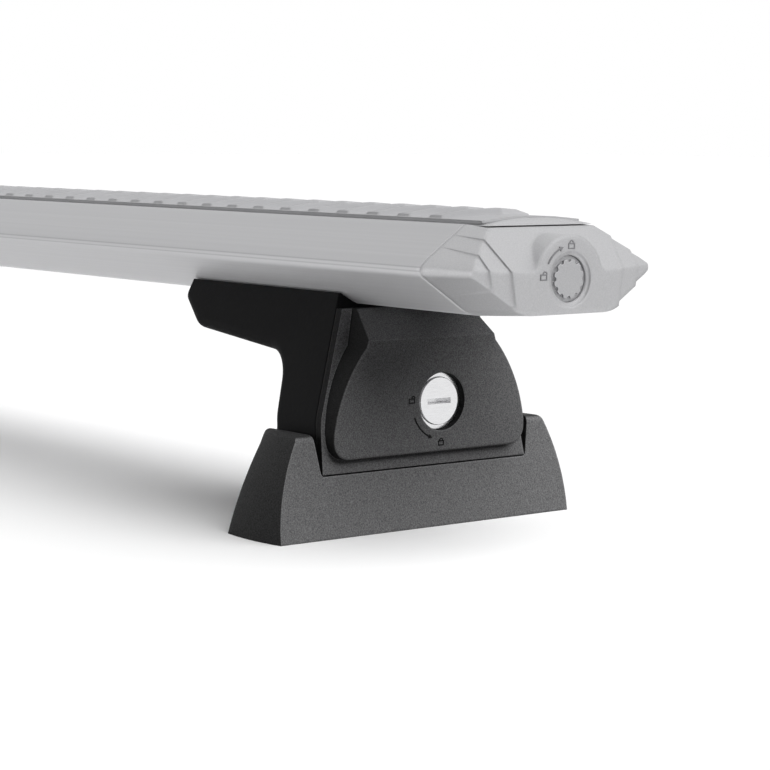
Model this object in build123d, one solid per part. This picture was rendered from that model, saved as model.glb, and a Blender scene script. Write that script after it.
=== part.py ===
"""Tonneau rack: one aero crossbar on two clamp legs, with locking covers and turn-lock end caps.

Millimetres, +Z up. The bar runs along X, its middle at X = 0, and the feet stand on Z = 0.
An end is modelled once in the leg's own frame, where x = 0 is the outer bottom edge of the
foot and +x points outboard. It is then set at the right end and, half a turn round, at the left.
"""

import math
import os

from build123d import *

# Rack as a whole
rack_length = 1260.0  # tip of one end cap to the tip of the other
ride_height = 72.5  # mounting surface up to the flat underside of the bar
foot_inset = 64.9  # end cap tip back to the outer bottom edge of the foot
past = 1.0  # how far a cutter runs past the face it opens
across = 150.0  # long enough to cut right across an end
near = 0.1  # how close an edge or corner lies to the place it is looked for

# Crossbar section, heights taken up from its flat underside
bar_half_width = 40.3  # to the nose before it is rounded
bar_height = 28.0
bar_flat_half = 18.5  # half of the flat underside
bar_top_half = 21.5  # half of the flat top
nose_rise = 14.3
crease_half = 36.0  # where the upper flank steepens towards the nose
crease_rise = 18.0
flat_radius = 14.0
nose_radius = 2.5
crease_radius = 6.0
top_edge_radius = 1.5
bar_wall = 2.0
flat_share = 0.3  # how far each corner moves in for each mm that the section is drawn in
nose_share = 1.3
crease_share = 0.3
top_share = 0.4
nose_round_share = 0.4

# Lower channel, which takes the clamp plates and accessories
lower_neck_half = 5.5
lower_lip = 2.2
lower_slot_half = 10.0
lower_slot_height = 5.0

# Upper channel, which holds the rubber strip
upper_neck_half = 5.0
upper_lip = 2.0
upper_slot_half = 9.0
upper_slot_height = 5.0

# Rubber top strip with chevron ribs
strip_half = 19.8
strip_edge = 1.2  # height of the strip's edge above the bar
strip_crown = 2.4  # height of its base at the middle
strip_shoulder = 0.5  # where the crown's facets meet, as a share of the half width
strip_lap = 5.8  # how far it runs on over the end cap
strip_fit = 0.3  # strip foot to channel walls
strip_foot_height = 4.2
strip_end_gap = 0.4  # strip to the end cap
rib_edge = 1.7  # rib height above the bar at the strip's edge
rib_crown = 4.4  # and at the middle
rib_pitch = 16.0
rib_width = 7.0
rib_sweep = 9.0  # how far the rib's middle runs ahead of its ends
rib_half = 18.6
rib_draft = 28.0  # degrees

# End cap
cap_length = 23.9
cap_bow = 1.8  # how far the end face bows back at the nose
cap_tip_radius = 9.0
cap_taper = 1.5  # the whole cap draws in this much towards its tip
cap_ridge_rise = 14.2
cap_ridge_radius = 1.4
cap_low_run = 3.0
cap_low_rise = 2.4
cap_low_drop = 2.0  # depth under the bar at which the low bevel starts
cap_low_radius = 3.0
cap_bevel_run = 15.2
cap_bevel_rise = 29.6
cap_crown_rise = 30.0
cap_crown_half = 21.0
cap_crown_sink = 0.2
cap_shoulder_radius = 5.0
cap_lap_drop = 0.3  # top of the cap under the strip's end
terrace_step = 0.8  # each terrace lies this much under the one inboard of it
terrace_low_drop = 3.0  # the terraces' half widths are given at this depth under the bar,
terrace_high_rise = 33.0  # at the ridge and at this height above its underside
core_low_half = 19.7
core_ridge_half = 22.4
core_high_half = 28.5
mid_low_half = 26.1
mid_ridge_half = 30.0
mid_high_half = 32.4
plug_length = 22.0
plug_fit = 0.4

# Turn lock in the end cap
dial_rise = 12.1  # dial centre above the bar's underside
hood_radius = 13.3
hood_blend = 4.0
hood_gap = 1.0  # end of the strip to the hood
hood_foot_rise = 4.5
dial_rim_radius = 8.4
dial_rim_depth = 0.7
dial_radius = 7.0
dial_fit = 0.1
dial_recess = 3.6  # bottom of the dial's seat behind the hood's face
dial_thick = 2.0
knob_radius = 5.9
knob_height = 1.0
knob_lobes = 12
knob_scallop = 0.8
spindle_radius = 2.5
spindle_fit = 0.08
latch_back = 9.5  # bar end back to the front of the latch tongue
latch_thick = 3.0
latch_reach = 8.5
latch_half = 2.5
latch_hole_radius = 1.6
latch_tail_radius = 2.4
latch_tip_radius = 0.8
latch_fit = 0.06
latch_screw_head = 2.5
latch_screw_head_thick = 1.6
latch_screw_bite = 6.0
latch_screw_hole = 8.0
window_fit = 0.6  # latch window round the tongue's sweep

# Leg: front plane, notch and shroud
notch_floor = 19.8
notch_half = 42.6
notch_top_half = 45.0
notch_radius = 1.5
horn_top = 33.0
shroud_front_half = 60.0
shroud_bow = 1.3  # side faces bow out between front and rear corner
shroud_rear_half = 60.6
shroud_back_half = 44.0
shroud_depth = 43.0
shroud_rear_depth = 29.0
shroud_rear_radius = 4.0
shroud_back_radius = 8.0
shroud_lean = 0.13  # front face leans inboard this much per mm of height
shroud_curve = 0.0083  # side faces draw in with the square of the height
shroud_rear_lean = 0.27
shroud_rear_curve = 0.0052
shroud_rear_step = 0.05
shroud_back_lean = 0.12
shroud_back_draw = 0.15
shroud_rear_share = 0.5  # how far the inside's rear and back corners move in for each mm of wall
shroud_back_share = 0.3
shroud_wall = 3.0
shroud_edge_radius = 2.4
horn_wall = 2.6
horn_cavity_top = 27.0
foot_fit = 0.4

# Outer cover
rim_setback = 2.4  # rim face behind x = 0 at the notch floor
rim_lean = 0.19
rim_thick = 2.8
rim_gap = 0.5  # rim to notch floor
seat_gap = 0.3
cover_wall = 2.6
roof_share = 0.5  # how far the inside's roof moves in for each mm of wall
cover_bar_gap = 0.8
face_x = 0.2
face_bottom = 24.6
face_low_half = 39.7
face_low_z = 33.0
face_mid_half = 35.9
face_mid_z = 46.5
face_high_half = 27.0
face_high_drop = 12.3  # under the bar's flat
face_crown_half = 22.2
face_top_drop = 10.3  # where the face turns back into the bevel, under the bar's flat
face_corner_radius = 6.0
face_edge_radius = 0.9
bevel_back = 12.6
bevel_rise = 11.6
guide_half_span = 17.0
guide_width = 3.0
guide_low = 50.0
guide_high = 56.0
guide_reach = 8.0

# Cover lock
lock_y = 3.9
lock_z = 41.1
lock_bore_radius = 9.5
lock_boss_wall = 2.0
lock_boss_length = 9.4
housing_fit = 0.1
housing_setback = 2.2
housing_bore_radius = 7.85
housing_length = 8.0
core_fit = 0.08
core_setback = 1.4
key_slot_length = 9.6
key_slot_width = 1.7
key_slot_depth = 4.0
cam_neck_radius = 4.0
cam_fit = 0.06
cam_thick = 2.4
cam_reach = 15.2
cam_half = 6.0
cam_tail = 6.2
cam_waist = 4.2
cam_tip_half = 3.2
cam_tail_radius = 4.0
cam_waist_radius = 3.0
cam_tip_radius = 2.0
cam_lip_gap = 0.4
cam_screw_radius = 1.9
cam_screw_head = 4.8
cam_screw_head_thick = 2.0
cam_screw_depth = 5.0
cam_screw_gap = 0.5

# Leg casting
column_top_half = 25.9
hip_half = 40.9
hip_z = 36.5
hip_radius = 20.0
foot_depth = 36.2
foot_shoulder_z = 23.0
waist_depth = 31.0
waist_z = 31.5
waist_radius = 5.0
arm_tip = 101.4
arm_nose = 103.4
arm_nose_drop = 4.9  # the arm's heights hang from the bar's flat
arm_chin = 93.0
arm_chin_drop = 12.3
arm_chin_radius = 8.0
arm_root = 37.4
arm_root_drop = 17.3
arm_root_radius = 14.0
arm_edge_radius = 3.6
column_wall = 5.0
run_up = 4.0  # column and cover are drawn this far above the bar's underside, then cut to it
flange_top = 9.5
pocket_roof_drop = 10.5
pocket_back = 31.4  # back of the pocket at its roof
lip_thick = 4.4
lip_gap = 0.6

# Clamp
cradle_gap = 0.3
cradle_pad_thick = 1.5
cradle_pad_half = 16.5
cradle_pad_fit = 0.2
cradle_pad_outer = 19.0
cradle_pad_inner = 92.0
plate_thick = 3.8
plate_fit = 0.4
plate_lift = 0.1
plate_outer = 13.0
plate_inner = 92.0
bolt_radius = 3.0
bolt_hole_radius = 3.3
bolt_thread_fit = 0.05
bolt_head_radius = 5.0
bolt_head_height = 6.0
bolt_outer_x = -24.0
bolt_inner_x = -80.0
bolt_tip_gap = 0.6
hex_flat = 5.0
hex_depth = 3.0
washer_radius = 6.0
washer_thick = 1.2
counterbore_radius = 6.6
counterbore_drop = 6.5

# Foot pad and mounting holes
foot_pad_thick = 2.5
mount_hole_radius = 3.3
mount_half_spacing = 24.0
mount_x = -18.0

# Values that follow from the ones above
station = rack_length / 2 - foot_inset
bar_end = foot_inset - cap_length
bar_top = ride_height + bar_height
dial_z = ride_height + dial_rise
core_half = lower_slot_half + bar_wall
chamber_low = lower_lip + lower_slot_height + bar_wall
chamber_high = bar_height - upper_lip - upper_slot_height - bar_wall
foot_front = -(shroud_lean * notch_floor + shroud_wall + foot_fit)
foot_half = notch_half - foot_fit
boss_radius = lock_bore_radius + lock_boss_wall
lip_top = lock_z - boss_radius - lip_gap
leg_top = ride_height + run_up
face_high_z = ride_height - face_high_drop
face_top_z = ride_height - face_top_drop
arm_nose_z = ride_height - arm_nose_drop
arm_chin_z = ride_height - arm_chin_drop
arm_root_z = ride_height - arm_root_drop
pocket_roof = ride_height - pocket_roof_drop
counterbore_top = ride_height - counterbore_drop


def closed(points, radii):
    """Face inside a closed outline whose corners have the given radii."""
    return make_face(FilletPolyline(*points, radius=radii, close=True))


def twin(right, radii):
    """Face whose left half mirrors the right half, given from bottom to top."""
    left = [(-a, b) for a, b in reversed(right)]
    return closed(right + left, radii + radii[::-1])


def along_x(face, start, end):
    """Face drawn in (Y, Z), extruded between two X values."""
    return extrude(Plane.YZ.offset(start) * face, amount=end - start, dir=(1, 0, 0))


def along_y(face, start, end):
    """Face drawn in (X, Z), extruded between two Y values."""
    return extrude(Plane.XZ.offset(-start) * face, amount=end - start, dir=(0, 1, 0))


def along_z(face, start, end):
    """Face drawn in (X, Y), extruded between two Z values."""
    return extrude(Plane.XY.offset(start) * face, amount=end - start, dir=(0, 0, 1))


def rod_x(y, z, radius, start, end):
    """Round rod along X."""
    return along_x(Pos(y, z) * Circle(radius), start, end)


def rod_z(x, y, radius, start, end):
    """Round rod along Z."""
    return along_z(Pos(x, y) * Circle(radius), start, end)


def block(x0, x1, y0, y1, z0, z1):
    """Box between two corners."""
    size = Box(x1 - x0, y1 - y0, z1 - z0)
    return Pos((x0 + x1) / 2, (y0 + y1) / 2, (z0 + z1) / 2) * size


def bar_outline(inset=0.0):
    """Outer section of the bar in (Y, Z), drawn in by an inset."""
    right = [
        (bar_flat_half - flat_share * inset, ride_height + inset),
        (bar_half_width - nose_share * inset, ride_height + nose_rise),
        (crease_half - inset, ride_height + crease_rise - crease_share * inset),
        (bar_top_half - top_share * inset, bar_top - inset),
    ]
    nose = nose_radius - nose_round_share * inset
    return twin(right, [flat_radius, nose, crease_radius, top_edge_radius])


def side_chambers():
    """The two hollow chambers of the bar, left and right of its core."""
    hollow = offset(bar_outline(), -bar_wall, kind=Kind.INTERSECTION)
    core = Pos(0, ride_height + bar_height / 2) * Rectangle(2 * core_half, 2 * bar_height)
    return hollow - core


def make_crossbar():
    """Hollow extrusion with a channel below, a channel above and a latch window at each end."""
    lower = Pos(0, ride_height + lower_lip / 2) * Rectangle(2 * lower_neck_half, 2 * lower_lip)
    lower_mid = ride_height + lower_lip + lower_slot_height / 2
    lower += Pos(0, lower_mid) * Rectangle(2 * lower_slot_half, lower_slot_height)
    upper = Pos(0, bar_top - upper_lip / 2) * Rectangle(2 * upper_neck_half, 2 * upper_lip)
    upper_mid = bar_top - upper_lip - upper_slot_height / 2
    upper += Pos(0, upper_mid) * Rectangle(2 * upper_slot_half, upper_slot_height)
    chamber_mid = ride_height + (chamber_low + chamber_high) / 2
    chamber = Pos(0, chamber_mid) * Rectangle(2 * lower_slot_half, chamber_high - chamber_low)
    section = bar_outline() - side_chambers() - lower - upper - chamber
    reach = station + bar_end
    bar = along_x(section, -reach, reach)
    roof = ride_height + chamber_high
    corner = math.hypot(latch_reach, latch_half)
    sweep = math.sqrt(corner**2 - (roof - dial_z) ** 2)
    window = block(
        reach - latch_back - latch_thick - window_fit,
        reach - latch_back + window_fit,
        -sweep - window_fit,
        latch_half + window_fit,
        roof - window_fit,
        roof + bar_wall + window_fit,
    )
    return bar - window - Rot(0, 0, 180) * window


def crowned(half, edge, crown):
    """Strip section in (Y, Z) on the bar's top, crowned by four facets."""
    shoulder = half * strip_shoulder
    rise = edge + (crown - edge) * (1.0 - strip_shoulder**2)
    right = [(half, bar_top), (half, bar_top + edge), (shoulder, bar_top + rise)]
    top = [(0.0, bar_top + crown)]
    left = [(-a, b) for a, b in reversed(right)]
    return closed(right + top + left, 0.0)


def make_top_strip():
    """Rubber strip: foot in the upper channel, crowned base on the bar, chevron ribs on top."""
    neck = upper_neck_half - strip_fit
    foot = upper_slot_half - strip_fit
    shoulder = bar_top - upper_lip - strip_fit
    tee = [(foot, shoulder - strip_foot_height), (foot, shoulder), (neck, shoulder), (neck, bar_top)]
    tee_end = station + bar_end - strip_end_gap
    strip_end = station + bar_end + strip_lap
    strip = along_x(twin(tee, [0.0] * 4), -tee_end, tee_end)
    strip += along_x(crowned(strip_half, strip_edge, strip_crown), -strip_end, strip_end)
    tail = -(rib_width + rib_sweep) / 2
    chevron = [
        (tail, -rib_half),
        (tail + rib_width, -rib_half),
        (tail + rib_width + rib_sweep, 0),
        (tail + rib_width, rib_half),
        (tail, rib_half),
        (tail + rib_sweep, 0),
    ]
    base = Plane.XY.offset(bar_top + strip_edge / 2) * closed(chevron, 0.0)
    rib = extrude(base, amount=rib_crown, taper=rib_draft)
    rib &= along_x(crowned(strip_half, rib_edge, rib_crown), -rib_pitch, rib_pitch)
    room = strip_end - (rib_width + rib_sweep) / 2
    count = int(room // rib_pitch)
    ribs = [Pos(i * rib_pitch, 0, 0) * rib for i in range(-count, count + 1)]
    return strip + ribs


def cap_layer(inset):
    """One terrace of the end cap: the bar's section drawn in by the inset, cut to the end's shape."""
    tip = foot_inset - inset
    root = Plane.YZ.offset(bar_end) * bar_outline()
    end = Plane.YZ.offset(foot_inset) * bar_outline(inset + cap_taper)
    shape = loft([root, end], ruled=True)
    if inset == 0.0:
        right = (cap_crown_half, bar_top - cap_crown_sink)
        left = (-cap_crown_half, bar_top - cap_crown_sink)
        crown = ThreePointArc(right, (0, ride_height + cap_crown_rise), left)
        shape += along_x(make_face([crown, Line(left, right)]), bar_end, foot_inset)
    side = [
        (bar_end - past, ride_height - cap_low_drop),
        (tip - cap_low_run, ride_height - cap_low_drop),
        (tip, ride_height + cap_low_rise),
        (tip, ride_height + cap_ridge_rise),
        (tip - cap_bevel_run, ride_height + cap_bevel_rise),
        (bar_end - past, ride_height + cap_crown_rise + past),
    ]
    radii = [0.0, 0.0, cap_low_radius, cap_ridge_radius, cap_shoulder_radius, 0.0]
    shape &= along_y(closed(side, radii), -bar_half_width, bar_half_width)
    return shape & along_z(cap_plan(tip), 0.0, across)


def cap_plan(tip):
    """Outline of the cap from above: bowed end face and rounded tips."""
    reach = bar_half_width + past
    root = bar_end - past
    right = (tip - cap_bow, reach)
    left = (tip - cap_bow, -reach)
    bow = ThreePointArc(left, (tip, 0), right)
    back = Polyline(right, (root, reach), (root, -reach), left)
    plan = make_face([bow, *back.edges()])
    corners = [v for v in plan.vertices() if v.X > bar_end]
    return fillet(corners, cap_tip_radius)


def hood_outline():
    """Round hood over the dial in (Y, Z), running out into the ridge on both sides."""
    ridge = ride_height + cap_ridge_rise
    blend_z = ridge + hood_blend
    reach = hood_radius + hood_blend
    blend_y = math.sqrt(reach**2 - (blend_z - dial_z) ** 2)
    share = hood_radius / reach
    join = (blend_y * share, dial_z + (blend_z - dial_z) * share)
    turn = (math.pi / 2 + math.atan2(blend_z - dial_z, blend_y)) / 2
    mid = (blend_y - hood_blend * math.cos(turn), blend_z - hood_blend * math.sin(turn))
    mid_left = (-mid[0], mid[1])
    join_left = (-join[0], join[1])
    low = ride_height + hood_foot_rise
    edges = [
        ThreePointArc((blend_y, ridge), mid, join),
        ThreePointArc(join, (0, dial_z + hood_radius), join_left),
        ThreePointArc(join_left, mid_left, (-blend_y, ridge)),
        *Polyline((-blend_y, ridge), (-blend_y, low), (blend_y, low), (blend_y, ridge)).edges(),
    ]
    return make_face(edges)


def make_end_cap():
    """Terraced end cap with a hood round its dial and two plugs that sit in the bar's chambers."""
    low = ride_height - terrace_low_drop
    ridge = ride_height + cap_ridge_rise
    high = ride_height + terrace_high_rise
    core = twin([(core_low_half, low), (core_ridge_half, ridge), (core_high_half, high)], [0.0] * 3)
    mid = twin([(mid_low_half, low), (mid_ridge_half, ridge), (mid_high_half, high)], [0.0] * 3)
    cap = cap_layer(0.0) & along_x(core, bar_end, foot_inset)
    cap += cap_layer(terrace_step) & along_x(mid, bar_end, foot_inset)
    cap += cap_layer(2 * terrace_step)
    hood = along_x(hood_outline(), bar_end + strip_lap + hood_gap, foot_inset)
    cap += hood & along_z(cap_plan(foot_inset), 0.0, across)
    lap_end = bar_end + strip_lap + strip_end_gap
    lap_half = strip_half + strip_end_gap
    cap -= block(bar_end - past, lap_end, -lap_half, lap_half, bar_top - cap_lap_drop, across)
    for chamber in side_chambers().faces():
        plug = offset(chamber, -plug_fit, kind=Kind.INTERSECTION)
        cap += along_x(plug, bar_end - plug_length, bar_end)
    seat = foot_inset - dial_recess
    cap -= rod_x(0, dial_z, dial_rim_radius, foot_inset - dial_rim_depth, foot_inset + past)
    cap -= rod_x(0, dial_z, dial_radius + dial_fit, seat, foot_inset + past)
    return cap - rod_x(0, dial_z, spindle_radius + spindle_fit, bar_end - past, seat + past)


def make_cap_dial():
    """Round dial with a lobed knob, and the spindle behind it."""
    seat = foot_inset - dial_recess + dial_fit
    front = seat + dial_thick
    dial = rod_x(0, dial_z, dial_radius, seat, front)
    knob = Circle(knob_radius)
    for i in range(knob_lobes):
        turn = 2 * math.pi * i / knob_lobes
        knob -= Pos(knob_radius * math.cos(turn), knob_radius * math.sin(turn)) * Circle(knob_scallop)
    dial += along_x(Pos(0, dial_z) * knob, front, front + knob_height)
    tail = bar_end - latch_back
    dial += rod_x(0, dial_z, spindle_radius, tail, seat)
    return dial - rod_x(0, dial_z, latch_hole_radius, tail - past, tail + latch_screw_hole)


def make_cap_latch():
    """Latch tongue on the end of the dial's spindle, lying flat when unlocked."""
    front = bar_end - latch_back
    outline = [
        (latch_half, dial_z - latch_half),
        (latch_half, dial_z + latch_half),
        (-latch_reach, dial_z + latch_half),
        (-latch_reach, dial_z - latch_half),
    ]
    radii = [latch_tail_radius, latch_tail_radius, latch_tip_radius, latch_tip_radius]
    tongue = along_x(closed(outline, radii), front - latch_thick, front)
    return tongue - rod_x(0, dial_z, latch_hole_radius, front - latch_thick - past, front + past)


def make_latch_screw():
    """Screw that holds the tongue to the spindle."""
    back = bar_end - latch_back - latch_thick
    shank = rod_x(0, dial_z, latch_hole_radius - latch_fit, back, back + latch_thick + latch_screw_bite)
    return shank + rod_x(0, dial_z, latch_screw_head, back - latch_screw_head_thick, back)


def rim_x(z):
    """Face of the cover's rim at a height."""
    return -(rim_setback + rim_lean * (z - notch_floor))


def casting_x(z):
    """Outboard face of the casting at a height, behind the rim."""
    return rim_x(z) - rim_thick - seat_gap


def leg_outline(inset=0.0):
    """Leg seen from outboard, in (Y, Z)."""
    right = [
        (foot_half - inset, foot_pad_thick),
        (foot_half - inset, notch_floor),
        (hip_half - inset, hip_z),
        (column_top_half - inset, leg_top),
    ]
    return twin(right, [0.0, 0.0, hip_radius, 0.0])


def make_leg_casting():
    """Column with a pocket behind the cover, and an arm that carries the bar."""
    knee = notch_floor + (-foot_front - rim_setback - rim_thick - seat_gap) / rim_lean
    side = [
        (foot_front, foot_pad_thick),
        (foot_front, knee),
        (casting_x(leg_top), leg_top),
        (-arm_tip, leg_top),
        (-arm_nose, arm_nose_z),
        (-arm_chin, arm_chin_z),
        (-arm_root, arm_root_z),
        (-waist_depth, waist_z),
        (-foot_depth, foot_shoulder_z),
        (-foot_depth, foot_pad_thick),
    ]
    radii = [0.0, 0.0, 0.0, 0.0, 0.0, arm_chin_radius, arm_root_radius, waist_radius, 0.0, 0.0]
    body = along_y(closed(side, radii), -foot_half, foot_half)
    body &= along_x(leg_outline(), -across, past)
    inboard = [e for e in body.edges() if e.center().X < -waist_depth + near]
    sides = [e for e in inboard if abs(e.center().Y) > column_wall]
    soft = [e for e in sides if foot_pad_thick < e.center().Z < arm_nose_z - past]
    body = fillet(soft, arm_edge_radius)
    body -= along_x(offset(bar_outline(), cradle_gap), -across, past)
    pad_half = cradle_pad_half + cradle_pad_fit
    pad_low = ride_height - cradle_pad_thick
    pad_in = -cradle_pad_inner - cradle_pad_fit
    pad_out = -cradle_pad_outer + cradle_pad_fit
    body -= block(pad_in, pad_out, -pad_half, pad_half, pad_low, bar_top)
    lip = foot_front - lip_thick
    deep = -waist_depth + column_wall
    room = [
        (deep, flange_top),
        (lip, flange_top),
        (lip, lip_top),
        (past, lip_top),
        (past, pocket_roof),
        (-pocket_back, pocket_roof),
        (deep, waist_z),
    ]
    pocket = along_y(closed(room, 0.0), -foot_half, foot_half)
    body -= pocket & along_x(leg_outline(column_wall), -foot_depth, past)
    body -= rod_z(bolt_outer_x, 0, bolt_hole_radius, pocket_roof - past, bar_top)
    body -= rod_z(bolt_inner_x, 0, bolt_hole_radius, counterbore_top - past, bar_top)
    body -= rod_z(bolt_inner_x, 0, counterbore_radius, arm_root_z, counterbore_top)
    for y in (mount_half_spacing, -mount_half_spacing):
        body -= rod_z(mount_x, y, mount_hole_radius, 0.0, flange_top + past)
    return body


def shroud_section(z, inset):
    """Outline of the foot shroud at a height, in (X, Y): straight front, bowed sides, cut rear corners."""
    front = (-shroud_lean * z - inset, shroud_front_half - shroud_curve * z * z - inset)
    rear_half = shroud_rear_half - shroud_rear_lean * z - shroud_rear_curve * z * z - inset
    rear = (-shroud_rear_depth + shroud_rear_step * z + shroud_rear_share * inset, rear_half)
    back_half = shroud_back_half - shroud_back_draw * z - shroud_back_share * inset
    back = (-shroud_depth + shroud_back_lean * z + inset, back_half)
    side = ((front[0] + rear[0]) / 2, (front[1] + rear[1]) / 2 + shroud_bow)
    flip = [(x, -y) for x, y in (front, side, rear, back)]
    edges = [
        Line(flip[0], front),
        ThreePointArc(front, side, rear),
        Line(rear, back),
        Line(back, flip[3]),
        Line(flip[3], flip[2]),
        ThreePointArc(flip[2], flip[1], flip[0]),
    ]
    outline = make_face(edges)
    rear_corners = [v for v in outline.vertices() if abs(v.X - rear[0]) < near]
    outline = fillet(rear_corners, shroud_rear_radius)
    back_corners = [v for v in outline.vertices() if abs(v.X - back[0]) < near]
    return Plane.XY.offset(z) * fillet(back_corners, shroud_back_radius)


def make_foot_shroud():
    """Hollow skirt round the foot, with a notch for the column between two horns."""
    shell = loft([shroud_section(z, 0.0) for z in (0.0, horn_top / 2, horn_top)])
    crown = [e for e in shell.edges() if e.center().Z > horn_top - near]
    shell = fillet(crown, shroud_edge_radius)
    inside = loft([shroud_section(z, shroud_wall) for z in (-past, horn_top / 2, horn_top)])
    notch = [(notch_half, notch_floor), (notch_top_half, horn_top + past)]
    shell -= along_x(twin(notch, [notch_radius, 0.0]), -across, across)
    shell -= inside & block(-across, across, -notch_half, notch_half, -past, notch_floor + past)
    wall = notch_half + horn_wall
    lean = (notch_top_half - notch_half) / (horn_top - notch_floor)
    tall = horn_cavity_top - notch_floor
    horn = [
        (wall, -past),
        (across, -past),
        (across, horn_cavity_top),
        (wall + lean * tall, horn_cavity_top),
        (wall, notch_floor),
    ]
    cavity = inside & along_x(closed(horn, 0.0), -across, across)
    return shell - cavity - mirror(cavity, about=Plane.XZ)


def make_foot_pad():
    """Rubber pad under the casting's foot."""
    pad = block(-foot_depth, foot_front, -foot_half, foot_half, 0.0, foot_pad_thick)
    for y in (mount_half_spacing, -mount_half_spacing):
        pad -= rod_z(mount_x, y, mount_hole_radius, -past, foot_pad_thick + past)
    return pad


def face_outline(inset):
    """Raised face of the cover in (Y, Z): narrow above, full and round-cornered below."""
    side = ThreePointArc(
        (face_low_half - inset, face_low_z),
        (face_mid_half - inset, face_mid_z),
        (face_high_half - inset, face_high_z),
    )
    side_left = ThreePointArc(
        (-face_high_half + inset, face_high_z),
        (-face_mid_half + inset, face_mid_z),
        (-face_low_half + inset, face_low_z),
    )
    crown = Polyline(
        (face_high_half - inset, face_high_z),
        (face_crown_half - inset, leg_top),
        (-face_crown_half + inset, leg_top),
        (-face_high_half + inset, face_high_z),
    )
    base = Polyline(
        (-face_low_half + inset, face_low_z),
        (-face_low_half + inset, face_bottom + inset),
        (face_low_half - inset, face_bottom + inset),
        (face_low_half - inset, face_low_z),
    )
    face = make_face([side, *crown.edges(), side_left, *base.edges()])
    corners = [v for v in face.vertices() if v.Y < face_bottom + inset + near]
    return fillet(corners, face_corner_radius - inset)


def face_side(inset, depth):
    """Raised block of the cover in (X, Z), with its top bevelled back under the bar."""
    slope = bevel_back / bevel_rise
    front = face_x - inset
    drop = roof_share * inset
    points = [
        (rim_x(notch_floor) - depth, notch_floor),
        (front, notch_floor),
        (front, face_top_z - drop),
        (front - slope * face_top_drop, ride_height - drop),
        (rim_x(ride_height) - depth, ride_height - drop),
    ]
    return closed(points, 0.0)


def make_outer_cover():
    """Cover over the leg's pocket: leaning rim, raised face, lock boss and two guides."""
    low = notch_floor + rim_gap
    slab = [
        (rim_x(low) - rim_thick, low),
        (rim_x(low), low),
        (rim_x(leg_top), leg_top),
        (rim_x(leg_top) - rim_thick, leg_top),
    ]
    rim = along_y(closed(slab, 0.0), -foot_half, foot_half) & along_x(leg_outline(), -across, across)
    raised = along_x(face_outline(0.0), -across, across)
    raised &= along_y(face_side(0.0, rim_thick), -foot_half, foot_half)
    crest = [e for e in raised.edges() if e.center().X > face_x - near]
    bevel = raised.faces().filter_by(lambda f: f.normal_at().X > near and f.normal_at().Z > near)
    flanks = [e for e in bevel.edges() if abs(e.center().Y) > guide_half_span]
    crest += [e for e in flanks if e.center().Z > face_top_z + near]
    raised = fillet(crest, face_edge_radius)
    hollow = along_x(face_outline(cover_wall), -across, across)
    hollow &= along_y(face_side(cover_wall, 2 * rim_thick), -foot_half, foot_half)
    roof = ride_height - cover_bar_gap - cover_wall
    hollow &= block(-across, across, -foot_half, foot_half, 0.0, roof)
    cover = rim + raised - hollow
    boss_back = face_x - lock_boss_length
    root = face_x - cover_wall / 2
    cover += rod_x(lock_y, lock_z, boss_radius, boss_back, root)
    guide_back = casting_x(guide_high) - guide_reach
    for y in (guide_half_span, -guide_half_span):
        cover += block(guide_back, root, y - guide_width / 2, y + guide_width / 2, guide_low, guide_high)
    cover -= rod_x(lock_y, lock_z, lock_bore_radius, boss_back - past, face_x + past)
    return cover - block(-across, across, -across, across, ride_height - cover_bar_gap, across)


def make_lock_housing():
    """Sleeve pressed into the cover, in which the lock core turns."""
    front = face_x - housing_setback
    back = front - housing_length
    sleeve = rod_x(lock_y, lock_z, lock_bore_radius - housing_fit, back, front)
    return sleeve - rod_x(lock_y, lock_z, housing_bore_radius, back - past, front + past)


def cam_front():
    """Front of the cam, just behind the casting's lip."""
    return foot_front - lip_thick - cam_lip_gap


def make_lock_core():
    """Lock core with its key slot level, and the neck that carries the cam."""
    front = face_x - core_setback
    core = rod_x(lock_y, lock_z, housing_bore_radius - core_fit, face_x - lock_boss_length, front)
    slot = Pos(lock_y, lock_z) * Rectangle(key_slot_length, key_slot_width)
    core -= along_x(slot, front - key_slot_depth, front + past)
    back = cam_front() - cam_thick
    core += rod_x(lock_y, lock_z, cam_neck_radius, back, face_x - lock_boss_length)
    return core - rod_x(lock_y, lock_z, cam_screw_radius, back - past, back + cam_screw_depth)


def make_lock_cam():
    """Cam tongue on the core's neck, pointing sideways when the cover is free."""
    front = cam_front()
    back = front - cam_thick
    outline = [
        (lock_y + cam_tail, lock_z - cam_half),
        (lock_y + cam_tail, lock_z + cam_half),
        (lock_y - cam_waist, lock_z + cam_half),
        (lock_y - cam_reach, lock_z + cam_tip_half),
        (lock_y - cam_reach, lock_z - cam_tip_half),
        (lock_y - cam_waist, lock_z - cam_half),
    ]
    tail = [cam_tail_radius, cam_tail_radius]
    tip = [cam_waist_radius, cam_tip_radius, cam_tip_radius, cam_waist_radius]
    cam = along_x(closed(outline, tail + tip), back, front)
    return cam - rod_x(lock_y, lock_z, cam_neck_radius + cam_fit, back - past, front + past)


def make_cam_screw():
    """Screw that holds the cam on the neck."""
    back = cam_front() - cam_thick
    screw = rod_x(lock_y, lock_z, cam_screw_radius - cam_fit, back, back + cam_screw_depth - cam_screw_gap)
    return screw + rod_x(lock_y, lock_z, cam_screw_head, back - cam_screw_head_thick, back)


def make_cradle_pad():
    """Rubber pad between the arm and the bar's underside."""
    low = ride_height - cradle_pad_thick
    pad = block(-cradle_pad_inner, -cradle_pad_outer, -cradle_pad_half, cradle_pad_half, low, ride_height)
    for x in (bolt_outer_x, bolt_inner_x):
        pad -= rod_z(x, 0, bolt_hole_radius, low - past, ride_height + past)
    return pad


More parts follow.
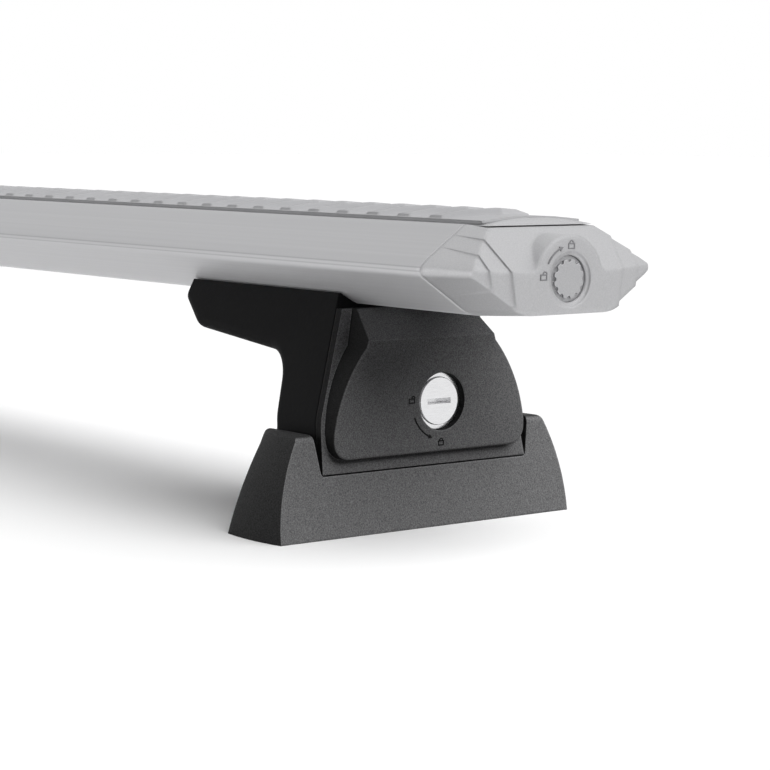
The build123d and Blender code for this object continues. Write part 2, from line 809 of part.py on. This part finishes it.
def make_clamp_plate():
    """Threaded plate in the bar's lower channel."""
    low = ride_height + lower_lip + plate_lift
    half = lower_slot_half - plate_fit
    plate = block(-plate_inner, -plate_outer, -half, half, low, low + plate_thick)
    for x in (bolt_outer_x, bolt_inner_x):
        plate -= rod_z(x, 0, bolt_radius + bolt_thread_fit, low - past, low + plate_thick + past)
    return plate


def clamp_seats():
    """Where each clamp bolt stands, and the face its washer bears on."""
    return ((bolt_outer_x, pocket_roof), (bolt_inner_x, counterbore_top))


def make_clamp_bolts():
    """The two socket-head bolts that pull the plate down."""
    tip = ride_height + lower_lip + lower_slot_height - bolt_tip_gap
    bolts = []
    for x, seat in clamp_seats():
        under = seat - washer_thick
        base = under - bolt_head_height
        bolt = rod_z(x, 0, bolt_radius, under, tip)
        bolt += rod_z(x, 0, bolt_head_radius, base, under)
        socket = Pos(x, 0) * RegularPolygon(hex_flat / math.sqrt(3), 6)
        bolt -= along_z(socket, base - past, base + hex_depth)
        bolts.append(bolt.solid())
    return Compound(children=bolts)


def make_clamp_washers():
    """A flat washer under each bolt head."""
    washers = []
    for x, seat in clamp_seats():
        ring = rod_z(x, 0, washer_radius, seat - washer_thick, seat)
        ring -= rod_z(x, 0, bolt_hole_radius, seat - washer_thick - past, seat + past)
        washers.append(ring.solid())
    return Compound(children=washers)


end_pieces = {
    "leg_casting": make_leg_casting(),
    "cradle_pad": make_cradle_pad(),
    "clamp_plate": make_clamp_plate(),
    "clamp_bolts": make_clamp_bolts(),
    "clamp_washers": make_clamp_washers(),
    "foot_shroud": make_foot_shroud(),
    "foot_pad": make_foot_pad(),
    "outer_cover": make_outer_cover(),
    "lock_housing": make_lock_housing(),
    "lock_core": make_lock_core(),
    "lock_cam": make_lock_cam(),
    "cam_screw": make_cam_screw(),
    "end_cap": make_end_cap(),
    "cap_dial": make_cap_dial(),
    "cap_latch": make_cap_latch(),
    "latch_screw": make_latch_screw(),
}

os.makedirs("parts", exist_ok=True)
export_step(make_crossbar(), "parts/crossbar.step")
export_step(make_top_strip(), "parts/top_strip.step")
for name, piece in end_pieces.items():
    export_step(Pos(station, 0, 0) * piece, f"parts/{name}_right.step")
    export_step(Rot(0, 0, 180) * Pos(station, 0, 0) * piece, f"parts/{name}_left.step")
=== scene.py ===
import math

import bmesh
import bpy
from mathutils import Matrix, Vector


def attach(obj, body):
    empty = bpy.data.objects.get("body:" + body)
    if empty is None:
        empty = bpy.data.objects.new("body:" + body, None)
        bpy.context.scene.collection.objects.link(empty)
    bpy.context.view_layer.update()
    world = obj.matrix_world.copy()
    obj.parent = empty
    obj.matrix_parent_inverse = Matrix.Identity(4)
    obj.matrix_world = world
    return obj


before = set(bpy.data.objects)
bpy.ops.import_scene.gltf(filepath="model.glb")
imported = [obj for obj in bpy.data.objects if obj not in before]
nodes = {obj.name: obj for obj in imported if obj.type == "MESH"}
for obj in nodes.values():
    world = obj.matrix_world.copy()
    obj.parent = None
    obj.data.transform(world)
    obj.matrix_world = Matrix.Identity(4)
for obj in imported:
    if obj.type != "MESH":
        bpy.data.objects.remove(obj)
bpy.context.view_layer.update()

# The crossbar is one extruded aluminium section, closed at the nose and open along its slots.
# It is pushed through a die, so faint lines and a fine double score run along it, and then satin anodised.


def new_finish(name, colour, rough, metal=0.0, gloss=0.5):
    """Material with its constant colour, roughness, metal and gloss set on the shader's own sockets."""
    finish = bpy.data.materials.new(name)
    finish.use_nodes = True
    shader = finish.node_tree.nodes["Principled BSDF"]
    shader.inputs["Base Color"].default_value = (*colour, 1.0)
    shader.inputs["Roughness"].default_value = rough
    shader.inputs["Metallic"].default_value = metal
    shader.inputs["Specular IOR Level"].default_value = gloss
    return finish, finish.node_tree.nodes, finish.node_tree.links, shader


def noise(tree, links, scale, detail=2.0, stretch=(1.0, 1.0, 1.0)):
    """Noise on the piece's own coordinates, packed closer along each axis by a stretch."""
    place = tree.new("ShaderNodeTexCoord")
    drawn = tree.new("ShaderNodeMapping")
    drawn.inputs["Scale"].default_value = stretch
    speckle = tree.new("ShaderNodeTexNoise")
    speckle.inputs["Scale"].default_value = scale
    speckle.inputs["Detail"].default_value = detail
    links.new(place.outputs["Object"], drawn.inputs["Vector"])
    links.new(drawn.outputs["Vector"], speckle.inputs["Vector"])
    return speckle


def tint(tree, links, shader, factor, low, high):
    """Colour that runs between two values with a texture's factor."""
    ramp = tree.new("ShaderNodeValToRGB")
    ramp.color_ramp.elements[0].color = (*low, 1.0)
    ramp.color_ramp.elements[1].color = (*high, 1.0)
    links.new(factor, ramp.inputs["Fac"])
    links.new(ramp.outputs["Color"], shader.inputs["Base Color"])
    return ramp


def shade(tree, links, shader, share):
    """Multiply the colour that already reaches the shader by a share."""
    colour = shader.inputs["Base Color"].links[0].from_socket
    product = tree.new("ShaderNodeMix")
    product.data_type = "RGBA"
    product.blend_type = "MULTIPLY"
    product.inputs["Factor"].default_value = 1.0
    links.new(colour, product.inputs["A"])
    links.new(share, product.inputs["B"])
    links.new(product.outputs["Result"], shader.inputs["Base Color"])


def relief(tree, links, shader, height, depth, edge=0.0003):
    """Fine relief of a given depth in metres, over edges that are worn or drawn to a small radius."""
    rounded = tree.new("ShaderNodeBevel")
    rounded.samples = 8
    rounded.inputs["Radius"].default_value = edge
    bump = tree.new("ShaderNodeBump")
    bump.inputs["Distance"].default_value = depth
    links.new(rounded.outputs["Normal"], bump.inputs["Normal"])
    links.new(height, bump.inputs["Height"])
    links.new(bump.outputs["Normal"], shader.inputs["Normal"])
    return rounded


def dress(name, finish):
    """Give a CAD node its finish, with its curved faces shaded smooth and its edges kept crisp."""
    node = nodes[name]
    node.data.materials.clear()
    node.data.materials.append(finish)
    for face in node.data.polygons:
        face.use_smooth = True
    weld = node.modifiers.new("weld", "WELD")
    weld.merge_threshold = 1e-6
    split = node.modifiers.new("crisp", "EDGE_SPLIT")
    split.split_angle = math.radians(24)


def span(name, axis):
    """Least and greatest place of a CAD node along one axis."""
    places = [corner.co["XYZ".index(axis)] for corner in nodes[name].data.vertices]
    return min(places), max(places)


bar_dark = (0.45, 0.45, 0.46)
bar_pale = (0.51, 0.51, 0.52)
bar_metal, tree, links, shader = new_finish("anodised_bar", colour=bar_dark, rough=0.58, metal=0.75)
die_lines = noise(tree, links, scale=1.0, detail=3.0, stretch=(3.0, 900.0, 900.0)).outputs["Fac"]
tint(tree, links, shader, die_lines, low=bar_dark, high=bar_pale)
relief(tree, links, shader, die_lines, depth=0.00002, edge=0.003)
bar_underside = span("crossbar", "Z")[0]
score_rise = 0.0149
score_half_gap = 0.0006
place = tree.new("ShaderNodeTexCoord")
axes = tree.new("ShaderNodeSeparateXYZ")
links.new(place.outputs["Object"], axes.inputs["Vector"])
off_score = axes.outputs["Z"]
for middle in (bar_underside + score_rise, score_half_gap):
    above = tree.new("ShaderNodeMath")
    above.operation = "SUBTRACT"
    above.inputs[1].default_value = middle
    links.new(off_score, above.inputs[0])
    apart = tree.new("ShaderNodeMath")
    apart.operation = "ABSOLUTE"
    links.new(above.outputs["Value"], apart.inputs[0])
    off_score = apart.outputs["Value"]
score = tree.new("ShaderNodeMapRange")
score.inputs["From Min"].default_value = 0.0001
score.inputs["From Max"].default_value = 0.0003
score.inputs["To Min"].default_value = 0.78
score.inputs["To Max"].default_value = 1.0
links.new(off_score, score.inputs["Value"])
shade(tree, links, shader, score.outputs["Result"])
dress("crossbar", bar_metal)

# The top strip is extruded rubber with moulded chevron ribs, pushed into the upper slot.
# It is matte, with a faint dusty bloom on it.
strip_rubber, tree, links, shader = new_finish("strip_rubber", colour=(0.4, 0.4, 0.41), rough=0.68)
bloom = noise(tree, links, scale=60.0, detail=5.0).outputs["Fac"]
tint(tree, links, shader, bloom, low=(0.35, 0.35, 0.36), high=(0.43, 0.43, 0.44))
skin = noise(tree, links, scale=2200.0).outputs["Fac"]
relief(tree, links, shader, skin, depth=0.00005, edge=0.0016)
dress("top_strip", strip_rubber)

# The legs are die-cast aluminium: a column with an arm under the bar, coated in satin black powder.
# The powder flows out a little as it is baked, which leaves a soft orange peel.
# The left end of the rack is the right one, turned half a turn.
end_turns = {"right": 0.0, "left": math.pi}
leg_coat, tree, links, shader = new_finish(
    "black_powder_coat", colour=(0.009, 0.009, 0.0095), rough=0.5, gloss=0.03
)
peel = noise(tree, links, scale=700.0).outputs["Fac"]
relief(tree, links, shader, peel, depth=0.00006, edge=0.001)
for side in end_turns:
    dress(f"leg_casting_{side}", leg_coat)

# Pads, clamp plate, bolts and washers hold the bar in the leg. The pads are cut black rubber.
# The clamp is plain steel with a bright zinc coat, turned and rolled to size.
# The cam and the small screws behind the locks have the same coat.
pad_rubber, tree, links, shader = new_finish("pad_rubber", colour=(0.02, 0.02, 0.02), rough=0.75)
pores = noise(tree, links, scale=1500.0).outputs["Fac"]
relief(tree, links, shader, pores, depth=0.00008)
clamp_zinc, tree, links, shader = new_finish("zinc_plate", colour=(0.6, 0.6, 0.62), rough=0.3, metal=1.0)
spangle = noise(tree, links, scale=400.0, detail=4.0).outputs["Fac"]
tint(tree, links, shader, spangle, low=(0.5, 0.5, 0.52), high=(0.68, 0.68, 0.7))
relief(tree, links, shader, spangle, depth=0.00002)
for side in end_turns:
    for pad in ("cradle_pad", "foot_pad"):
        dress(f"{pad}_{side}", pad_rubber)
    for fastener in ("clamp_plate", "clamp_bolts", "clamp_washers", "lock_cam", "cam_screw", "latch_screw"):
        dress(f"{fastener}_{side}", clamp_zinc)

# The foot shroud is a moulded black plastic skirt clipped round the foot.
# Its mould is spark-eroded, which gives a fine even grain with paler tips.


def edge_highlight(tree, links, shader, rounded, highlight_gain):
    """Painted highlight on the edges: paler colour where the rounded normal leaves the flat one."""
    flat = tree.new("ShaderNodeNewGeometry")
    lean = tree.new("ShaderNodeVectorMath")
    lean.operation = "DOT_PRODUCT"
    links.new(rounded.outputs["Normal"], lean.inputs[0])
    links.new(flat.outputs["Normal"], lean.inputs[1])
    highlight = tree.new("ShaderNodeMapRange")
    highlight.inputs["From Min"].default_value = 0.86
    highlight.inputs["From Max"].default_value = 1.0
    highlight.inputs["To Min"].default_value = highlight_gain
    highlight.inputs["To Max"].default_value = 1.0
    links.new(lean.outputs["Value"], highlight.inputs["Value"])
    shade(tree, links, shader, highlight.outputs["Result"])


def painted_side_shade(tree, links, shader, share):
    """Painted shade: darken the faces that turn away from the bar's length, the side walls most, by the way
    they face.
    """
    place = tree.new("ShaderNodeTexCoord")
    facing = tree.new("ShaderNodeSeparateXYZ")
    links.new(place.outputs["Normal"], facing.inputs["Vector"])
    endways = tree.new("ShaderNodeMath")
    endways.operation = "ABSOLUTE"
    links.new(facing.outputs["X"], endways.inputs[0])
    side_shade = tree.new("ShaderNodeMapRange")
    side_shade.inputs["From Min"].default_value = 0.45
    side_shade.inputs["From Max"].default_value = 0.8
    side_shade.inputs["To Min"].default_value = share
    side_shade.inputs["To Max"].default_value = 1.0
    links.new(endways.outputs["Value"], side_shade.inputs["Value"])
    shade(tree, links, shader, side_shade.outputs["Result"])


def grained(name, low, high, rough, grain, depth, edge, metal=0.0, gloss=0.1, highlight_gain=1.4, side_shade_share=None):
    """Moulded plastic with a spark-eroded grain, pale tips over a darker ground, round edges with a painted
    highlight, and, given a share, painted shade on the side walls.
    """
    finish, tree, links, shader = new_finish(name, high, rough, metal, gloss)
    fine = noise(tree, links, grain, detail=3.0)
    fine.inputs["Roughness"].default_value = 0.6
    ramp = tint(tree, links, shader, fine.outputs["Fac"], low, high)
    ramp.color_ramp.elements[0].position = 0.35
    ramp.color_ramp.elements[1].position = 0.68
    rounded = relief(tree, links, shader, fine.outputs["Fac"], depth, edge)
    # Painted highlight along the rounded edges.
    edge_highlight(tree, links, shader, rounded, highlight_gain)
    # Painted shade on the side walls, when a share is given.
    if side_shade_share is not None:
        painted_side_shade(tree, links, shader, side_shade_share)
    return finish


shroud_plastic = grained(
    "shroud_plastic",
    low=(0.11, 0.11, 0.112),
    high=(0.25, 0.25, 0.253),
    rough=0.6,
    grain=2300.0,
    depth=0.0001,
    edge=0.001,
    gloss=0.05,
    # Painted shade on the side walls, at this share.
    side_shade_share=0.2,
)
for side in end_turns:
    dress(f"foot_shroud_{side}", shroud_plastic)

# The outer cover is moulded in the same black plastic and slides over the front of the leg.
# Two padlocks and a curved arrow round the lock stand a hair proud of its face, in matte black.
cover_plastic = grained(
    "cover_plastic",
    low=(0.09, 0.09, 0.092),
    high=(0.22, 0.22, 0.223),
    rough=0.56,
    grain=2500.0,
    depth=0.0001,
    edge=0.001,
    gloss=0.03,
    # Painted shade on the side walls, at this share.
    side_shade_share=0.12,
)


def sign_finish(name, colour, rough, gloss=0.5):
    """Matte finish of a raised sign, with a little dust on it."""
    finish, tree, links, shader = new_finish(name, colour, rough, gloss=gloss)
    dust = noise(tree, links, scale=900.0).outputs["Fac"]
    relief(tree, links, shader, dust, depth=0.00005)
    return finish


def new_object(name, data):
    """Object with its data, put in the scene."""
    thing = bpy.data.objects.new(name, data)
    bpy.context.scene.collection.objects.link(thing)
    return thing


def axis_of(name):
    """Middle of a round CAD node that turns about a line along the bar, in (Y, Z)."""
    return [sum(span(name, axis)) / 2 for axis in "YZ"]


def set_sign(name, shape, face, axis, off_axis, side, body, finish):
    """Thicken a sign drawn flat in (Y, Z), set it on an end face off a lock's axis and let it ride."""
    sign_thick = 0.00012
    bmesh.ops.remove_doubles(shape, verts=shape.verts, dist=1e-6)
    raised = bmesh.ops.extrude_face_region(shape, geom=shape.faces[:], use_keep_orig=True)["geom"]
    lifted = [part for part in raised if isinstance(part, bmesh.types.BMVert)]
    bmesh.ops.translate(shape, vec=(sign_thick, 0.0, 0.0), verts=lifted)
    end = Matrix.Rotation(end_turns[side], 4, "Z")
    spot = Matrix.Translation((face, axis[0] + off_axis[0], axis[1] + off_axis[1]))
    bmesh.ops.transform(shape, matrix=end @ spot, verts=shape.verts)
    bmesh.ops.recalc_face_normals(shape, faces=shape.faces)
    mesh = bpy.data.meshes.new(f"{name}_{side}")
    shape.to_mesh(mesh)
    shape.free()
    mesh.materials.append(finish)
    sign = new_object(f"{name}_{side}", mesh)
    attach(sign, f"{body}_{side}")


def swept_line(shape, centre, radius, width, start, turn, steps):
    """Flat arc line about a centre in (Y, Z), from a start angle through a turn."""
    ends = [
        shape.verts.new((0.0, centre[0] + r * math.cos(start), centre[1] + r * math.sin(start)))
        for r in (radius - width / 2, radius + width / 2)
    ]
    line = shape.edges.new(ends)
    bmesh.ops.spin(
        shape, geom=[line, *ends], cent=(0.0, *centre), axis=(1.0, 0.0, 0.0), angle=turn, steps=steps
    )


def padlock(size, shackle_shift=0.0):
    """Flat padlock sign: an outlined case and a shackle, shifted when it stands open."""
    case_wide = size * 0.9
    case_high = size * 0.62
    shackle_radius = size * 0.24
    line_width = size * 0.13
    shape = bmesh.new()
    case = bmesh.ops.create_grid(shape, x_segments=1, y_segments=1, size=0.5)["verts"]
    bmesh.ops.transform(shape, matrix=Matrix.Rotation(math.pi / 2, 4, "Y"), verts=case)
    bmesh.ops.scale(shape, vec=(1.0, case_wide, case_high), verts=case)
    rim = bmesh.ops.inset_region(
        shape, faces=shape.faces[:], thickness=line_width, use_boundary=True, use_even_offset=True
    )
    middle = [face for face in shape.faces if face not in rim["faces"]]
    bmesh.ops.delete(shape, geom=middle, context="FACES")
    swept_line(
        shape, (shackle_shift, case_high / 2), shackle_radius, line_width, start=0.0, turn=math.pi, steps=10
    )
    return shape


def turn_arrow(radius, width, start, turn):
    """Flat curved arrow round a lock, with its head at the far end."""
    head_half = width * 1.7
    head_long = width * 3.2
    shape = bmesh.new()
    swept_line(shape, (0.0, 0.0), radius, width, start, turn, steps=12)
    end = start + turn
    tip = end + math.copysign(head_long / radius, turn)
    corners = [(radius - head_half, end), (radius + head_half, end), (radius, tip)]
    shape.faces.new([shape.verts.new((0.0, r * math.cos(a), r * math.sin(a))) for r, a in corners])
    return shape


cover_sign = sign_finish("moulded_mark", colour=(0.008, 0.008, 0.008), rough=0.7, gloss=0.1)
cover_face = span("outer_cover_right", "X")[1]
lock_axis = axis_of("lock_core_right")
cover_padlock = 0.0027
for side in end_turns:
    dress(f"outer_cover_{side}", cover_plastic)
    arrow = turn_arrow(radius=0.0123, width=0.00045, start=math.radians(202), turn=math.radians(42))
    signs = {
        "cover_padlock_open": (padlock(cover_padlock, shackle_shift=0.0006), (-0.0126, 0.0009)),
        "cover_padlock_shut": (padlock(cover_padlock), (-0.0003, -0.0136)),
        "cover_arrow": (arrow, (0.0, 0.0)),
    }
    for name, (shape, off_axis) in signs.items():
        set_sign(name, shape, cover_face, lock_axis, off_axis, side, "cover", cover_sign)

# The lock is a plated die-cast barrel in a sleeve, with a level slot for its key.
# Keys leave faint scratches round the slot.
plate_dull = (0.66, 0.66, 0.67)
plate_bright = (0.82, 0.82, 0.83)
lock_plate, tree, links, shader = new_finish("plated_lock", colour=plate_bright, rough=0.22, metal=1.0)
scratches = noise(tree, links, scale=1.0, detail=4.0, stretch=(200.0, 300.0, 2500.0)).outputs["Fac"]
tint(tree, links, shader, scratches, low=plate_dull, high=plate_bright)
relief(tree, links, shader, scratches, depth=0.00002)
for side in end_turns:
    for piece in ("lock_housing", "lock_core"):
        dress(f"{piece}_{side}", lock_plate)

# The end caps are moulded in grey plastic with a fine grain, in terraces that step down from the middle.
# Each carries a turn lock in a hood, with a padlock at both ends of its travel.
cap_plastic = grained(
    "cap_plastic",
    low=(0.46, 0.46, 0.47),
    high=(0.52, 0.52, 0.53),
    rough=0.5,
    grain=2200.0,
    depth=0.00004,
    edge=0.0022,
    metal=0.6,
    # Faint painted highlight on the cap's edges.
    highlight_gain=1.08,
)
cap_sign = sign_finish("cap_mark", colour=(0.28, 0.28, 0.29), rough=0.6)
cap_face = span("end_cap_right", "X")[1]
dial_axis = axis_of("cap_dial_right")
cap_padlock = 0.003
bow_at_side = 0.0001
bowed_face = cap_face - bow_at_side
for side in end_turns:
    dress(f"end_cap_{side}", cap_plastic)
    arrow = turn_arrow(radius=0.0101, width=0.0005, start=math.radians(152), turn=math.radians(-36))
    signs = {
        "cap_padlock_shut": (padlock(cap_padlock), cap_face, (0.0003, 0.0099)),
        "cap_padlock_open": (padlock(cap_padlock, shackle_shift=0.0005), bowed_face, (-0.0106, 0.0008)),
        "cap_arrow": (arrow, cap_face, (0.0, 0.0)),
    }
    for name, (shape, face, off_axis) in signs.items():
        set_sign(name, shape, face, dial_axis, off_axis, side, "cap", cap_sign)

# The dial is a lobed knob that a thumb or coin turns, moulded in the cap's grey plastic.
# Its latch tongue is hard black nylon, held on the spindle by one screw.
dial_plastic = grained(
    "dial_plastic",
    low=(0.43, 0.43, 0.44),
    high=(0.49, 0.49, 0.5),
    rough=0.5,
    grain=2200.0,
    depth=0.00004,
    edge=0.0004,
    metal=0.6,
)
latch_plastic = grained(
    "latch_plastic",
    low=(0.02, 0.02, 0.021),
    high=(0.035, 0.035, 0.036),
    rough=0.5,
    grain=2200.0,
    depth=0.00005,
    edge=0.0003,
)
for side in end_turns:
    dress(f"cap_dial_{side}", dial_plastic)
    dress(f"cap_latch_{side}", latch_plastic)

# The floor is one pale painted sheet, large enough to fill the view, and it keeps the rack's shadow.
# It shows white to the eye and in polished pieces, and throws back less light than that.


def seen_rays(tree, links):
    """One where a surface is seen, straight or in a mirror or glass, and zero where it only lights."""
    rays = tree.new("ShaderNodeLightPath")
    seen = rays.outputs["Is Camera Ray"]
    for kind in ("Is Glossy Ray", "Is Transmission Ray"):
        either = tree.new("ShaderNodeMath")
        either.operation = "MAXIMUM"
        links.new(seen, either.inputs[0])
        links.new(rays.outputs[kind], either.inputs[1])
        seen = either.outputs["Value"]
    return seen


floor_half = 12.0
floor_thrown = (0.12, 0.12, 0.12)
floor_seen = (0.98, 0.98, 0.98)
shape = bmesh.new()
bmesh.ops.create_grid(shape, x_segments=1, y_segments=1, size=floor_half)
mesh = bpy.data.meshes.new("floor")
shape.to_mesh(mesh)
shape.free()
floor_paint, tree, links, shader = new_finish("floor_paint", colour=floor_seen, rough=0.9, gloss=0.0)
tint(tree, links, shader, seen_rays(tree, links), low=floor_thrown, high=floor_seen)
mesh.materials.append(floor_paint)
floor = new_object("floor", mesh)

# The light is one broad soft source above and beyond the near end, with a weak low fill along the bar.
# A card under the bar lights its pale pieces from below, out of the camera's sight.
# The room round them shows white and adds a little light from every side.


def aim(travel):
    """Turn of a lamp whose light travels along a direction."""
    return Vector(travel).to_track_quat("-Z", "Y").to_euler()


room = bpy.data.worlds.new("room")
room.use_nodes = True
bpy.context.scene.world = room
tree, links = room.node_tree.nodes, room.node_tree.links
sky = tree["Background"]
sky.inputs["Color"].default_value = (1.0, 1.0, 1.0, 1.0)
strength = tree.new("ShaderNodeMapRange")
strength.inputs["To Min"].default_value = 0.05
strength.inputs["To Max"].default_value = 1.0
links.new(seen_rays(tree, links), strength.inputs["Value"])
links.new(strength.outputs["Result"], sky.inputs["Strength"])
lamp = bpy.data.lights.new("key", "SUN")
lamp.energy = 4.0
lamp.angle = math.radians(70)
key = new_object("key", lamp)
key.rotation_euler = aim((-0.55, -0.28, -0.76))
key.visible_glossy = False
lamp = bpy.data.lights.new("fill", "AREA")
lamp.energy = 22.0
lamp.size = 1.2
fill = new_object("fill", lamp)
fill.location = (0.2, -2.6, 0.35)
fill.rotation_euler = aim((0.1, 1.0, -0.1))
lamp = bpy.data.lights.new("bounce_card", "AREA")
lamp.shape = "RECTANGLE"
lamp.size = 1.5
lamp.size_y = 0.5
lamp.energy = 1.05
card = new_object("bounce_card", lamp)
card.location = (0.0, -0.05, 0.003)
card.rotation_euler = (math.pi, 0.0, 0.0)
card.visible_camera = False
pale_pieces = bpy.data.collections.new("pale_pieces")
for name in ("crossbar", "top_strip", "end_cap_right", "end_cap_left", "cap_dial_right", "cap_dial_left"):
    pale_pieces.objects.link(nodes[name])
card.light_linking.receiver_collection = pale_pieces
card.light_linking.blocker_collection = pale_pieces

# The camera stands low and well beyond the near end of the rack, with a long lens.
# It looks back along the bar, turned and rolled as the pictured view is.
camera_place = (1.12840, -0.45878, 0.12667)
yaw = math.radians(37.944)
pitch = math.radians(6.2955)
roll = math.radians(0.4359)
back = Vector((math.cos(yaw) * math.cos(pitch), -math.sin(yaw) * math.cos(pitch), math.sin(pitch)))
level = Vector((0.0, 0.0, 1.0)).cross(back).normalized()
upright = back.cross(level)
across = level * math.cos(roll) + upright * math.sin(roll)
up = upright * math.cos(roll) - level * math.sin(roll)
lens = bpy.data.cameras.new("camera")
lens.sensor_fit = "HORIZONTAL"
lens.sensor_width = 36.0
lens.lens = 105.35
lens.clip_end = 60.0
camera = new_object("camera", lens)
turn = Matrix((across, up, back)).transposed().to_4x4()
camera.matrix_world = Matrix.Translation(camera_place) @ turn
bpy.context.scene.camera = camera
bpy.context.scene.view_settings.view_transform = "Standard"
